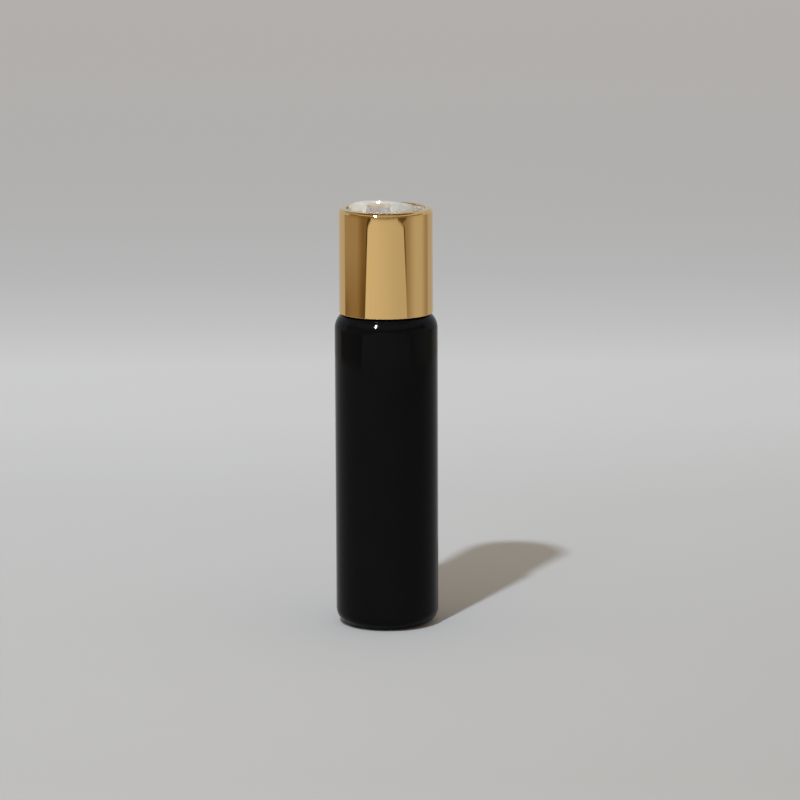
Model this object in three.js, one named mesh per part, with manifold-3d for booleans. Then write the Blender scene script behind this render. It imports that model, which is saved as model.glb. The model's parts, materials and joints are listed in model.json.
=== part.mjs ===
// Disc top bottle: a slim round bottle with a screw cap, whose round disc tips up to show its nozzle.
// Millimetres, +Z up. The bottle stands on z = 0 with its axis on the Z axis, and the nozzle faces -Y.
// The disc is drawn tipped open, at its stop.
import * as THREE from "three";
import { mergeVertices } from "three/addons/utils/BufferGeometryUtils.js";
import Module from "manifold-3d";

const wasm = await Module();
wasm.setup();

// Bottle body
const BODY_DIAMETER = 30;
const BODY_HEIGHT = 93; // floor to the top of the shoulder's curve
const BODY_WALL = 0.9;
const SHOULDER_RADIUS = 5.4;
const HEEL_RADIUS = 4.4;
const STANDING_RING_WIDTH = 2.8; // flat ring that the bottle stands on
const BASE_PUSH_UP = 2;

// Threaded neck
const NECK_DIAMETER = 21.6; // at the root of the thread
const NECK_WALL = 1.5;
const NECK_HEIGHT = 16.9; // top of the bead to the mouth
const MOUTH_ROUND = 0.5;
const BEAD_LIFT = 0.1; // above the shoulder
const BEAD_THICKNESS = 1;
const BEAD_SLOPE = 0.35; // rise of the bead's underside
const BEAD_CLEARANCE = 0.6; // to the shell round it
const THREAD_HEIGHT = 1.05;
const THREAD_PITCH = 3.175; // eight threads to the inch
const THREAD_TURNS = 1.5;
const THREAD_FLANK = THREE.MathUtils.degToRad(30);
const THREAD_CREST_SHARE = 0.28; // of the pitch
const THREAD_FADE_TURNS = 0.1; // run-out at each end
const THREAD_BELOW_MOUTH = 2.2; // mouth to the upper end of the thread's middle line
const THREAD_CLEARANCE = 0.3; // crest to the root that it faces
const THREAD_PLAY = 0.3; // between the flanks
const THREAD_SINK = 0.4; // of a ridge in the wall that carries it

// Gasket
const GASKET_THICKNESS = 1;
const GASKET_CLEARANCE = 0.25; // to the skirt round it
const SEAT_GAP = 0.05; // on each face of the gasket

// Cap body
const SKIRT_WALL = 0.95;
const SKIRT_LIFT = 0.3; // above the bead
const SKIRT_LEAD_IN = 0.4; // chamfer that starts the thread
const DECK_THICKNESS = 1.2;
const WELL_WALL = 1.7; // ring round the disc
const SEAT_RISE = 0.4; // lowest point of the rocking seat above the deck
const SADDLE_CLEARANCE = 0.8; // tips of the saddle below the disc's front edge
const STOP_HEIGHT = 1.8; // ledge on the deck that stops the disc
const STOP_WIDTH = 6;
const STOP_LENGTH = 2.5;
const SOCKET_WEB = 0.6; // wall left outside each trunnion socket
const SOCKET_COVER = 1.28; // wall left above each socket

// Cap shell
const SHELL_SHEET = 0.45;
const SHELL_FIT = 0.1; // between the sheet and the cap body
const SHELL_GAP = 0.55; // lower edge above the shoulder
const CORNER_ROUND = 1.05; // outer edge of the top
const LIP_ROUND = 0.2; // inner edge of the lip

// Disc
const TILT = THREE.MathUtils.degToRad(20); // from closed to open
const DISC_CLEARANCE = 0.25; // to the well
const DISC_SINK = 0.2; // below the lip when closed
const DISC_PLATE = 1.3;
const DISC_WALL = 1.1;
const DISC_EDGE = 0.4; // rounding of the top edge
const FRONT_SKIRT = 3.5; // below the pivot
const REAR_SKIRT = 0.6; // below the pivot
const REAR_SKIRT_START = 1.8; // behind the pivot
const STOP_CLEARANCE = 0.3;
const TRUNNION_DIAMETER = 2;
const TRUNNION_CLEARANCE = 0.2; // round each trunnion and at its end
const DISH_DIAMETER = 11; // finger dish in the rear half
const DISH_DEPTH = 0.4;
const DISH_MARGIN = 1; // rim to dish
const NOZZLE_WIDTH = 7.4;
const NOZZLE_HEIGHT = 3;
const NOZZLE_ROOF = 0.8; // plate left above the nozzle
const NOZZLE_DEPTH = 5; // front of the disc to the throat
const DUCT_WIDTH = 4.6;
const DUCT_HEIGHT = 1.9;
const DUCT_WALL = 0.9;
const SEAT_CLEARANCE = 0.2; // between the disc's knuckle and its seat

// Facets and cuts
const ROUND_STEPS = 48;
const ARC_STEPS = 2;
const PIN_STEPS = 24;
const RIDGE_CORNERS = 4; // of a thread's section
const OVERSHOOT = 1; // how far a cutter passes the faces that it cuts
const BITE = 0.3; // how far joined solids reach into each other
const WELD = 1e-4;

// Radii, from the bottle outwards and back to the disc
const bodyRadius = BODY_DIAMETER / 2;
const neckRadius = NECK_DIAMETER / 2;
const boreRadius = neckRadius - NECK_WALL;
const threadRadius = neckRadius + THREAD_HEIGHT;
const skirtInner = threadRadius + THREAD_CLEARANCE;
const skirtOuter = skirtInner + SKIRT_WALL;
const shellInner = skirtOuter + SHELL_FIT;
const shellOuter = shellInner + SHELL_SHEET;
const beadRadius = shellInner - BEAD_CLEARANCE;
const wellRadius = skirtOuter - WELL_WALL;
const discRadius = wellRadius - DISC_CLEARANCE;
const lipRadius = wellRadius + LIP_ROUND; // inner end of the lip's flat top
const cornerCentre = shellOuter - CORNER_ROUND;
const trunnionRadius = TRUNNION_DIAMETER / 2;
const socketRadius = trunnionRadius + TRUNNION_CLEARANCE;
const socketEnd = skirtOuter - SOCKET_WEB;

// Heights, from the shoulder up to the lip
const shoulderCentre = bodyRadius - SHOULDER_RADIUS;
const shoulderStart = BODY_HEIGHT - SHOULDER_RADIUS;
const shellBottom = shoulderHeight(shellInner) + SHELL_GAP;
const beadBottom = BODY_HEIGHT + BEAD_LIFT;
const beadTop = beadBottom + BEAD_THICKNESS;
const mouth = beadTop + NECK_HEIGHT;
const skirtBottom = beadTop + SKIRT_LIFT;
const gasketBottom = mouth + SEAT_GAP;
const gasketTop = gasketBottom + GASKET_THICKNESS;
const deckBottom = gasketTop + SEAT_GAP;
const deckTop = deckBottom + DECK_THICKNESS;
const stopTop = deckTop + STOP_HEIGHT;
const rearReach = Math.sqrt(discRadius ** 2 - REAR_SKIRT ** 2);
const rearDrop = rearReach * Math.sin(TILT) + REAR_SKIRT * Math.cos(TILT);
const pivotHeight = stopTop + STOP_CLEARANCE + rearDrop;
const wellTop = pivotHeight + socketRadius + SOCKET_COVER;
const lipBottom = wellTop + SHELL_FIT;
const lipTop = lipBottom + SHELL_SHEET;
const cornerHeight = lipTop - CORNER_ROUND;

// Disc sizes, measured from the pivot with the disc closed
const discTop = lipTop - DISC_SINK - pivotHeight;
const plateRadius = Math.sqrt(discRadius ** 2 - discTop ** 2);
const seatRadius = pivotHeight - deckTop - SEAT_RISE;
const knuckleRadius = seatRadius - SEAT_CLEARANCE;
const saddleReach = Math.sqrt(seatRadius ** 2 - (FRONT_SKIRT + SADDLE_CLEARANCE) ** 2);
const nozzleTop = discTop - NOZZLE_ROOF;
const throat = -(discRadius - NOZZLE_DEPTH);
const ductBottom = -FRONT_SKIRT + DUCT_WALL;
const ductTop = ductBottom + DUCT_HEIGHT;
const blockHalfWidth = NOZZLE_WIDTH / 2 + DUCT_WALL;
const blockRear = knuckleRadius * Math.sin(TILT) + DUCT_HEIGHT / 2 + DUCT_WALL;

// Height of the shoulder's outer surface at a radius
function shoulderHeight(radius) {
  const run = THREE.MathUtils.clamp(radius - shoulderCentre, 0, SHOULDER_RADIUS);
  return shoulderStart + Math.sqrt(SHOULDER_RADIUS ** 2 - run ** 2);
}

// Angle at which an arc about a centre line reaches a radius, no further than straight up
function arcEnd(radius, centre, arcRadius) {
  return Math.acos(THREE.MathUtils.clamp((radius - centre) / arcRadius, 0, 1));
}

// A closed geometry as a solid that can be joined and cut
function solid(geometry) {
  geometry.deleteAttribute("normal");
  geometry.deleteAttribute("uv");
  const merged = mergeVertices(geometry, WELD);
  const vertProperties = new Float32Array(merged.attributes.position.array);
  const triVerts = new Uint32Array(merged.index.array);
  return new wasm.Manifold(new wasm.Mesh({ numProp: 3, vertProperties, triVerts }));
}

// A profile of radius and height, turned about the Z axis
function turned(path) {
  const points = path
    .getPoints(ARC_STEPS)
    .filter((point, i, all) => i === 0 || point.distanceTo(all[i - 1]) > WELD);
  if (THREE.ShapeUtils.area(points) < 0) points.reverse();
  const geometry = new THREE.LatheGeometry(points, ROUND_STEPS);
  return solid(geometry.rotateX(Math.PI / 2));
}

// A block between two limits on each axis
function block(x, y, z) {
  const size = [x, y, z].map(([low, high]) => high - low);
  const middle = [x, y, z].map(([low, high]) => (low + high) / 2);
  return solid(new THREE.BoxGeometry(...size).translate(...middle));
}

// A round bar along X
function bar(radius, [from, to], steps) {
  const geometry = new THREE.CylinderGeometry(radius, radius, to - from, steps);
  return solid(geometry.rotateZ(Math.PI / 2).translate((from + to) / 2, 0, 0));
}

// A ridge on a right-hand helix: a trapezoid from a root sunk in its wall to a crest that fades into the wall
function threadRidge(wallRadius, crestRadius, crestWidth, startHeight) {
  const outward = Math.sign(crestRadius - wallRadius);
  const rootRadius = wallRadius - outward * THREAD_SINK;
  const fadedRadius = wallRadius - (outward * THREAD_SINK) / 2;
  const crestHalf = crestWidth / 2;
  const rootHalf = crestHalf + Math.abs(crestRadius - rootRadius) * Math.tan(THREAD_FLANK);
  const steps = Math.round(THREAD_TURNS * ROUND_STEPS);
  const fadeSteps = THREAD_FADE_TURNS * ROUND_STEPS;
  const positions = [];
  const index = [];
  for (let step = 0; step <= steps; step++) {
    const angle = (step / ROUND_STEPS) * 2 * Math.PI;
    const height = startHeight + (step / ROUND_STEPS) * THREAD_PITCH;
    const fade = Math.min(1, step / fadeSteps, (steps - step) / fadeSteps);
    const crest = THREE.MathUtils.lerp(fadedRadius, crestRadius, fade);
    const section = [
      [rootRadius, -rootHalf],
      [crest, -crestHalf],
      [crest, crestHalf],
      [rootRadius, rootHalf],
    ];
    if (outward < 0) section.reverse();
    for (const [radius, rise] of section) {
      positions.push(radius * Math.cos(angle), radius * Math.sin(angle), height + rise);
    }
  }
  for (let step = 0; step < steps; step++) {
    for (let side = 0; side < RIDGE_CORNERS; side++) {
      const a = step * RIDGE_CORNERS + side;
      const b = step * RIDGE_CORNERS + ((side + 1) % RIDGE_CORNERS);
      const nextA = a + RIDGE_CORNERS;
      const nextB = b + RIDGE_CORNERS;
      index.push(b, a, nextA, b, nextA, nextB);
    }
  }
  const last = steps * RIDGE_CORNERS;
  index.push(0, 1, 2, 0, 2, 3);
  index.push(last, last + 2, last + 1, last, last + 3, last + 2);
  const geometry = new THREE.BufferGeometry();
  geometry.setAttribute("position", new THREE.Float32BufferAttribute(positions, 3));
  geometry.setIndex(index);
  return solid(geometry);
}

// The bottle, from the middle of its base over the outside, in at the mouth and back down the inside
function makeBottle() {
  const heelCentre = bodyRadius - HEEL_RADIUS;
  const ringInner = heelCentre - STANDING_RING_WIDTH;
  const domeRadius = (ringInner ** 2 + BASE_PUSH_UP ** 2) / (2 * BASE_PUSH_UP);
  const domeCentre = BASE_PUSH_UP - domeRadius;
  const domeEnd = Math.acos(ringInner / domeRadius);
  const insideHeel = Math.max(HEEL_RADIUS - BODY_WALL, BODY_WALL / 2);
  const insideHeelCentre = bodyRadius - BODY_WALL - insideHeel;
  const insideShoulder = Math.max(SHOULDER_RADIUS - BODY_WALL, BODY_WALL / 2);
  const insideCentre = bodyRadius - BODY_WALL - insideShoulder;
  const insideStart = BODY_HEIGHT - BODY_WALL - insideShoulder;
  const neckJoin = arcEnd(neckRadius, shoulderCentre, SHOULDER_RADIUS);
  const boreJoin = arcEnd(boreRadius, insideCentre, insideShoulder);
  const path = new THREE.Path();
  path.moveTo(0, BASE_PUSH_UP);
  path.absarc(0, domeCentre, domeRadius, Math.PI / 2, domeEnd, true);
  path.absarc(heelCentre, HEEL_RADIUS, HEEL_RADIUS, -Math.PI / 2, 0, false);
  path.absarc(shoulderCentre, shoulderStart, SHOULDER_RADIUS, 0, neckJoin, false);
  path.lineTo(neckRadius, shoulderHeight(neckRadius));
  path.lineTo(neckRadius, beadBottom);
  path.lineTo(beadRadius, beadBottom + BEAD_SLOPE);
  path.lineTo(beadRadius, beadTop);
  path.lineTo(neckRadius, beadTop);
  path.absarc(neckRadius - MOUTH_ROUND, mouth - MOUTH_ROUND, MOUTH_ROUND, 0, Math.PI / 2, false);
  path.lineTo(boreRadius, mouth);
  path.lineTo(boreRadius, insideStart + insideShoulder * Math.sin(boreJoin));
  path.absarc(insideCentre, insideStart, insideShoulder, boreJoin, 0, true);
  path.absarc(insideHeelCentre, BODY_WALL + insideHeel, insideHeel, 0, -Math.PI / 2, true);
  path.absarc(0, domeCentre + BODY_WALL, domeRadius, domeEnd, Math.PI / 2, false);
  const threadStart = mouth - THREAD_BELOW_MOUTH - THREAD_TURNS * THREAD_PITCH;
  const crestWidth = THREAD_CREST_SHARE * THREAD_PITCH;
  return turned(path).add(threadRidge(neckRadius, threadRadius, crestWidth, threadStart));
}

// The ring that seals the mouth under the deck
function makeGasket() {
  const outer = skirtInner - GASKET_CLEARANCE;
  const path = new THREE.Path();
  path.moveTo(boreRadius, gasketBottom);
  path.lineTo(outer, gasketBottom);
  path.lineTo(outer, gasketTop);
  path.lineTo(boreRadius, gasketTop);
  path.closePath();
  return turned(path);
}

// The screw cap: skirt, deck, well, rocking seat, stop and trunnion sockets
function makeCapBody() {
  const crownRound = CORNER_ROUND - SHELL_SHEET - SHELL_FIT;
  const path = new THREE.Path();
  path.moveTo(0, deckBottom);
  path.lineTo(skirtInner, deckBottom);
  path.lineTo(skirtInner, skirtBottom + SKIRT_LEAD_IN);
  path.lineTo(skirtInner + SKIRT_LEAD_IN, skirtBottom);
  path.lineTo(skirtOuter, skirtBottom);
  path.absarc(cornerCentre, cornerHeight, crownRound, 0, Math.PI / 2, false);
  path.lineTo(wellRadius, wellTop);
  path.lineTo(wellRadius, deckTop);
  path.lineTo(0, deckTop);
  let cap = turned(path);

  const threadStart = mouth - THREAD_BELOW_MOUTH - THREAD_TURNS * THREAD_PITCH - THREAD_PITCH / 2;
  const crestRadius = neckRadius + THREAD_CLEARANCE;
  const flankSpread = 2 * (threadRadius - crestRadius) * Math.tan(THREAD_FLANK);
  const neckRidge = THREAD_CREST_SHARE * THREAD_PITCH + flankSpread;
  const crestWidth = THREAD_PITCH - neckRidge - 2 * THREAD_PLAY;
  cap = cap.add(threadRidge(skirtInner, crestRadius, crestWidth, threadStart));

  const across = [-blockHalfWidth, blockHalfWidth];
  const sunkDeck = deckTop - BITE;
  const seat = bar(seatRadius, [-wellRadius, wellRadius], ROUND_STEPS).translate([0, 0, pivotHeight]);
  cap = cap.add(block(across, [-saddleReach, saddleReach], [sunkDeck, pivotHeight]).subtract(seat));
  const stop = block(
    [-STOP_WIDTH / 2, STOP_WIDTH / 2],
    [wellRadius - STOP_LENGTH, wellRadius + BITE],
    [sunkDeck, stopTop],
  );
  cap = cap.add(stop);
  const port = block(
    [-DUCT_WIDTH / 2, DUCT_WIDTH / 2],
    [-DUCT_HEIGHT / 2, DUCT_HEIGHT / 2],
    [deckBottom - OVERSHOOT, pivotHeight],
  );
  const sockets = bar(socketRadius, [-socketEnd, socketEnd], PIN_STEPS).translate([0, 0, pivotHeight]);
  return cap.subtract(port).subtract(sockets);
}

// The sheet metal shell, turned in over the cap body to a flat lip at the well
function makeCapShell() {
  const innerCorner = CORNER_ROUND - SHELL_SHEET;
  const path = new THREE.Path();
  path.moveTo(shellInner, shellBottom);
  path.lineTo(shellOuter, shellBottom);
  path.absarc(cornerCentre, cornerHeight, CORNER_ROUND, 0, Math.PI / 2, false);
  path.absarc(lipRadius, lipTop - LIP_ROUND, LIP_ROUND, Math.PI / 2, Math.PI, false);
  path.lineTo(wellRadius, lipBottom);
  path.absarc(cornerCentre, cornerHeight, innerCorner, Math.PI / 2, 0, true);
  path.closePath();
  return turned(path);
}

// Adds the disc's outside to a profile: a ball about the pivot, from a depth up to the plate's round edge
function addDiscSide(path, depth) {
  const edgeHeight = discTop - DISC_EDGE;
  const edgeAngle = Math.asin(edgeHeight / discRadius);
  const edgeCentre = discRadius * Math.cos(edgeAngle) - DISC_EDGE;
  path.absarc(0, 0, discRadius, -Math.asin(depth / discRadius), edgeAngle, false);
  path.absarc(edgeCentre, edgeHeight, DISC_EDGE, 0, Math.PI / 2, false);
  path.lineTo(0, discTop);
}

// The plate and skirt of the disc, with the skirt short behind the pivot
function makeDiscCup() {
  const innerRadius = discRadius - DISC_WALL;
  const ceiling = discTop - DISC_PLATE;
  const path = new THREE.Path();
  path.moveTo(0, ceiling);
  path.lineTo(Math.sqrt(innerRadius ** 2 - ceiling ** 2), ceiling);
  const ceilingAngle = Math.asin(ceiling / innerRadius);
  path.absarc(0, 0, innerRadius, ceilingAngle, -Math.asin(FRONT_SKIRT / innerRadius), true);
  addDiscSide(path, FRONT_SKIRT);
  const across = [-discRadius - OVERSHOOT, discRadius + OVERSHOOT];
  const behind = [REAR_SKIRT_START, discRadius + OVERSHOOT];
  return turned(path).subtract(block(across, behind, [-FRONT_SKIRT - OVERSHOOT, -REAR_SKIRT]));
}

// The block under the plate that holds the duct, round below where it rocks on its seat
function makeDuctBlock() {
  const depth = knuckleRadius + OVERSHOOT;
  const path = new THREE.Path();
  path.moveTo(0, -depth);
  path.lineTo(Math.sqrt(discRadius ** 2 - depth ** 2), -depth);
  addDiscSide(path, depth);
  const envelope = turned(path);
  const across = [-blockHalfWidth, blockHalfWidth];
  const front = block(across, [-discRadius, 0], [-FRONT_SKIRT, discTop]);
  const knuckle = bar(knuckleRadius, across, ROUND_STEPS);
  const rearCut = block(
    [-discRadius, discRadius],
    [blockRear, discRadius + OVERSHOOT],
    [-depth, discTop + OVERSHOOT],
  );
  return knuckle.subtract(rearCut).add(front).intersect(envelope);
}

// The nozzle's funnel, from its wide mouth in the front of the disc back to the throat
function makeFunnel() {
  const mouthEnd = -discRadius - OVERSHOOT;
  const geometry = new THREE.BoxGeometry(1, 1, 1);
  const corners = geometry.attributes.position;
  const spread = (mouthEnd - throat) / -NOZZLE_DEPTH;
  const bottom = THREE.MathUtils.lerp(ductBottom, nozzleTop - NOZZLE_HEIGHT, spread);
  const top = THREE.MathUtils.lerp(ductTop, nozzleTop, spread);
  const width = THREE.MathUtils.lerp(DUCT_WIDTH, NOZZLE_WIDTH, spread);
  for (let i = 0; i < corners.count; i++) {
    const atMouth = corners.getY(i) < 0;
    const high = corners.getZ(i) > 0;
    corners.setX(i, corners.getX(i) * (atMouth ? width : DUCT_WIDTH));
    corners.setY(i, atMouth ? mouthEnd : throat);
    if (atMouth) corners.setZ(i, high ? top : bottom);
    else corners.setZ(i, high ? ductTop : ductBottom);
  }
  return solid(geometry);
}

// The duct: a rising leg that meets the port when the disc is open, and a leg forward to the throat
function makeDuct() {
  const across = [-DUCT_WIDTH / 2, DUCT_WIDTH / 2];
  const along = [-DUCT_HEIGHT / 2, DUCT_HEIGHT / 2];
  const rising = block(across, along, [-knuckleRadius - OVERSHOOT, ductTop]);
  const bend = -ductTop * Math.sin(TILT) + (DUCT_HEIGHT / 2) * Math.cos(TILT);
  const forward = block(across, [throat, bend], [ductBottom, ductTop]);
  return rising.rotate([THREE.MathUtils.radToDeg(TILT), 0, 0]).add(forward);
}

// The shallow dish for a finger in the rear half of the plate
function makeDish() {
  const radius = DISH_DIAMETER / 2;
  const ballRadius = (radius ** 2 + DISH_DEPTH ** 2) / (2 * DISH_DEPTH);
  const ballCentre = discTop - DISH_DEPTH + ballRadius;
  const path = new THREE.Path();
  path.moveTo(0, discTop - DISH_DEPTH);
  path.absarc(0, ballCentre, ballRadius, -Math.PI / 2, -Math.acos(radius / ballRadius), false);
  path.lineTo(radius, discTop + OVERSHOOT);
  path.lineTo(0, discTop + OVERSHOOT);
  return turned(path).translate([0, plateRadius - DISH_MARGIN - radius, 0]);
}

// The disc, closed, with its pivot at the origin
function makeDisc() {
  const trunnionEnd = socketEnd - TRUNNION_CLEARANCE;
  const trunnionStart = discRadius - DISC_WALL / 2;
  const left = bar(trunnionRadius, [-trunnionEnd, -trunnionStart], PIN_STEPS);
  const right = bar(trunnionRadius, [trunnionStart, trunnionEnd], PIN_STEPS);
  const passage = makeFunnel().add(makeDuct());
  return makeDiscCup()
    .add(makeDuctBlock())
    .add(left)
    .add(right)
    .subtract(passage)
    .subtract(makeDish());
}

// A named mesh of a solid
function part(name, shape, material) {
  const { vertProperties, triVerts } = shape.getMesh();
  const geometry = new THREE.BufferGeometry();
  geometry.setAttribute("position", new THREE.BufferAttribute(vertProperties, 3));
  geometry.setIndex(new THREE.BufferAttribute(triVerts, 1));
  geometry.computeVertexNormals();
  const mesh = new THREE.Mesh(geometry, material);
  mesh.name = name;
  return mesh;
}

const blackPlastic = new THREE.MeshStandardMaterial({ color: 0x121213, roughness: 0.15, metalness: 0 });
const goldSheet = new THREE.MeshStandardMaterial({ color: 0xc8a468, roughness: 0.12, metalness: 1 });
const capPlastic = new THREE.MeshStandardMaterial({ color: 0xe4e3da, roughness: 0.4, metalness: 0 });
const discPlastic = new THREE.MeshStandardMaterial({ color: 0xe9e8e0, roughness: 0.35, metalness: 0 });
const linerFoam = new THREE.MeshStandardMaterial({ color: 0xf1f1ec, roughness: 0.8, metalness: 0 });

const discBottle = new THREE.Group();
discBottle.add(part("bottle", makeBottle(), blackPlastic));
discBottle.add(part("neck_gasket", makeGasket(), linerFoam));
discBottle.add(part("cap_body", makeCapBody(), capPlastic));
discBottle.add(part("cap_shell", makeCapShell(), goldSheet));
const disc = part("tilt_disc", makeDisc(), discPlastic);
disc.position.z = pivotHeight;
disc.rotation.x = -TILT;
discBottle.add(disc);

export default discBottle;
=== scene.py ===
"""Disc top bottle: a glossy black bottle with a gold screw cap, whose white disc stands tipped open.

Metres, +Z up. The bottle stands on z = 0 with its axis on the Z axis, and the nozzle faces -Y.
"""

import json
import math

import bmesh
import bpy
from mathutils import Matrix, Vector


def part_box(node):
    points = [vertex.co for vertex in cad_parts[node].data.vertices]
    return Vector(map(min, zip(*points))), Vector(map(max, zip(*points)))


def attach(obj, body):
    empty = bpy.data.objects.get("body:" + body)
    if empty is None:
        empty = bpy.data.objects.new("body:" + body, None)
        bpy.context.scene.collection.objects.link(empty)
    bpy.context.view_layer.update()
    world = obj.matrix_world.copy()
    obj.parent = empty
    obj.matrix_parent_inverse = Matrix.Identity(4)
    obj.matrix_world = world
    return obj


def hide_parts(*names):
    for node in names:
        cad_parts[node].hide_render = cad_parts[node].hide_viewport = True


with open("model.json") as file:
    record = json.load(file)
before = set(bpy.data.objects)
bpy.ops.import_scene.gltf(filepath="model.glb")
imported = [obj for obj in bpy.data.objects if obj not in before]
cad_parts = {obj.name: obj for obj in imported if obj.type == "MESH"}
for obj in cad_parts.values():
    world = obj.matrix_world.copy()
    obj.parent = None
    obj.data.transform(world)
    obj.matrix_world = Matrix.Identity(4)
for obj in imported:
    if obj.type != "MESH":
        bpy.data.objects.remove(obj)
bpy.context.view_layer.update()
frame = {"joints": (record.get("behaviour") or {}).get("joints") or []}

MM = 0.001

# Sizes and places that the frame gives
joints = {joint["name"]: joint for joint in frame["joints"]}
pivot_height = joints["disc_tilt"]["pos_m"][2]
tilt = math.radians(joints["disc_tilt"]["range_deg"][1])
bottle_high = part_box("bottle")[1]
liner_low, liner_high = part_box("neck_gasket")
cap_low, cap_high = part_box("cap_body")
shell_low, shell_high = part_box("cap_shell")
body_radius = bottle_high.x
mouth = bottle_high.z
skirt_outer = cap_high.x
shell_outer = shell_high.x
lip_top = shell_high.z

# Bottle
BODY_HEIGHT = 93 * MM
BODY_WALL = 0.9 * MM
SHOULDER_RADIUS = 5.4 * MM
HEEL_RADIUS = 4.4 * MM
STANDING_RING_WIDTH = 2.8 * MM
BASE_PUSH_UP = 2 * MM
GATE_RADIUS = 0.9 * MM
GATE_HEIGHT = 0.35 * MM
NECK_RADIUS = 10.8 * MM
NECK_WALL = 1.5 * MM
MOUTH_ROUND = 0.5 * MM
BEAD_RADIUS = 12.6 * MM
BEAD_LIFT = 0.1 * MM
BEAD_SLOPE = 0.35 * MM
BEAD_THICKNESS = 1 * MM
BEAD_ROUND = 0.2 * MM

# Threads of the neck and the cap
THREAD_HEIGHT = 1.05 * MM
THREAD_PITCH = 3.175 * MM
THREAD_TURNS = 1.5
THREAD_FLANK = math.radians(30)
THREAD_CREST_SHARE = 0.28
THREAD_FADE_TURNS = 0.1
THREAD_BELOW_MOUTH = 2.2 * MM
THREAD_CLEARANCE = 0.3 * MM
THREAD_PLAY = 0.3 * MM
THREAD_SINK = 0.4 * MM

# Liner, cap and shell
LINER_ROUND = 0.15 * MM
SEAT_GAP = 0.05 * MM
SKIRT_INNER = 12.15 * MM
SKIRT_LEAD_IN = 0.4 * MM
DECK_THICKNESS = 1.2 * MM
DECK_ROUND = 0.4 * MM
WELL_RADIUS = 11.4 * MM
SEAT_RISE = 0.4 * MM
SADDLE_CLEARANCE = 0.8 * MM
STOP_HEIGHT = 1.8 * MM
STOP_WIDTH = 6 * MM
STOP_LENGTH = 2.5 * MM
SOCKET_WEB = 0.6 * MM
SHELL_SHEET = 0.45 * MM
SHELL_FIT = 0.1 * MM
SHELL_EDGE = 0.18 * MM
CORNER_ROUND = 1.05 * MM
LIP_ROUND = 0.2 * MM

# Disc
DISC_RADIUS = 11.15 * MM
DISC_SINK = 0.2 * MM
DISC_PLATE = 1.3 * MM
DISC_WALL = 1.1 * MM
DISC_EDGE = 0.4 * MM
FRONT_SKIRT = 3.5 * MM
REAR_SKIRT = 0.6 * MM
REAR_SKIRT_START = 1.8 * MM
TRUNNION_RADIUS = 1 * MM
TRUNNION_CLEARANCE = 0.2 * MM
DISH_RADIUS = 5.5 * MM
DISH_DEPTH = 0.4 * MM
DISH_MARGIN = 1 * MM
NOZZLE_WIDTH = 7.4 * MM
NOZZLE_HEIGHT = 3 * MM
NOZZLE_ROOF = 0.8 * MM
NOZZLE_DEPTH = 5 * MM
NOZZLE_ROUND = 0.35 * MM
DUCT_WIDTH = 4.6 * MM
DUCT_HEIGHT = 1.9 * MM
DUCT_WALL = 0.9 * MM
SEAT_CLEARANCE = 0.2 * MM

# Finishes: tones, the nozzle's painted glow, depths of grain, the stretch of the streaks, and where that
# painted glow ends
BLACK_TONES = ((0.0030, 0.0030, 0.0031), (0.0046, 0.0046, 0.0048))
GOLD_TONES = ((0.81, 0.53, 0.205), (0.89, 0.605, 0.258))
CAP_TONES = ((0.54, 0.53, 0.49), (0.51, 0.50, 0.46))
DISC_TONES = ((0.525, 0.52, 0.485), (0.495, 0.49, 0.455))
# Painted glow: a lighter tone for the nozzle's inside, standing in for light that comes through the thin
# plate
NOZZLE_PAINTED_GLOW = (0.795, 0.79, 0.795)
FOAM_TONES = ((0.84, 0.84, 0.81), (0.72, 0.72, 0.69))
BLOWN_RIPPLE = 0.008 * MM
SHEET_WAVE = 0.02 * MM
STREAK_STRETCH = (1, 1, 0.03)
MOULD_GRAIN = 0.002 * MM
FOAM_CELLS = 0.03 * MM
PAPER_GRAIN = 0.02 * MM
GLOW_ABOVE_NOZZLE = (0.1 * MM, 0.3 * MM)
GLOW_BEHIND_FRONT = (0.4 * MM, 0.05 * MM)

# Fineness, and allowances for cutting and joining
ROUND_STEPS = 144
THREAD_STEPS = 72
PIN_STEPS = 40
ARC_STEPS = 10
FILLET_STEPS = 4
OVERSHOOT = 1 * MM
BITE = 0.3 * MM
WELD = 0.002 * MM
CREASE = math.radians(34)

# Camera and studio
CAMERA_AZIMUTH = math.radians(12)
CAMERA_DISTANCE = 1.2
CAMERA_HEIGHT = 0.2961
CAMERA_PITCH = math.radians(10.849)
CAMERA_PAN = math.radians(0.188)
CAMERA_ROLL = math.radians(-0.241)
CAMERA_LENS = 188.6
SENSOR_WIDTH = 36
CAMERA_NEAR = 0.01
CAMERA_FAR = 20
KEY_AZIMUTH = math.radians(-12.2)
KEY_ELEVATION = math.radians(55.3)
KEY_DISTANCE = 1.1
KEY_SIZE = 0.045
KEY_POWER = 9.5
KEY_COLOUR = (0.797, 0.889, 1)
CATCH_AZIMUTH = math.radians(-16.4)
CATCH_ELEVATION = math.radians(54.9)
CATCH_DISTANCE = 0.37
CATCH_ROLL = math.radians(10)
CATCH_WIDTH = 0.022
CATCH_HEIGHT = 0.13
CATCH_POWER = 2.5
ROOM_COLOUR = (0.530, 0.472, 0.400)
FAR_COLOUR = (0.44, 0.425, 0.405)
FLOOR_RADIUS = 4
# Painted light on the floor: tones by distance behind the bottle, darker in front and brighter and cooler
# behind, as a lit studio sweep
FLOOR_PAINTED_LIGHT = [
    (-0.17, (0.410, 0.400, 0.384)),
    (0.00, (0.474, 0.471, 0.467)),
    (0.17, (0.563, 0.571, 0.579)),
    (0.31, (0.694, 0.713, 0.743)),
    (0.42, (0.752, 0.781, 0.828)),
    (0.50, (0.711, 0.741, 0.789)),
    (0.64, (0.664, 0.700, 0.758)),
    (0.82, (0.671, 0.711, 0.768)),
    (1.33, (0.754, 0.803, 0.880)),
    (1.90, (0.798, 0.853, 0.954)),
]
SURROUND_RADIUS = 0.3
SURROUND_BOTTOM = 0.026
SURROUND_EAVES = 0.28

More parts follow.
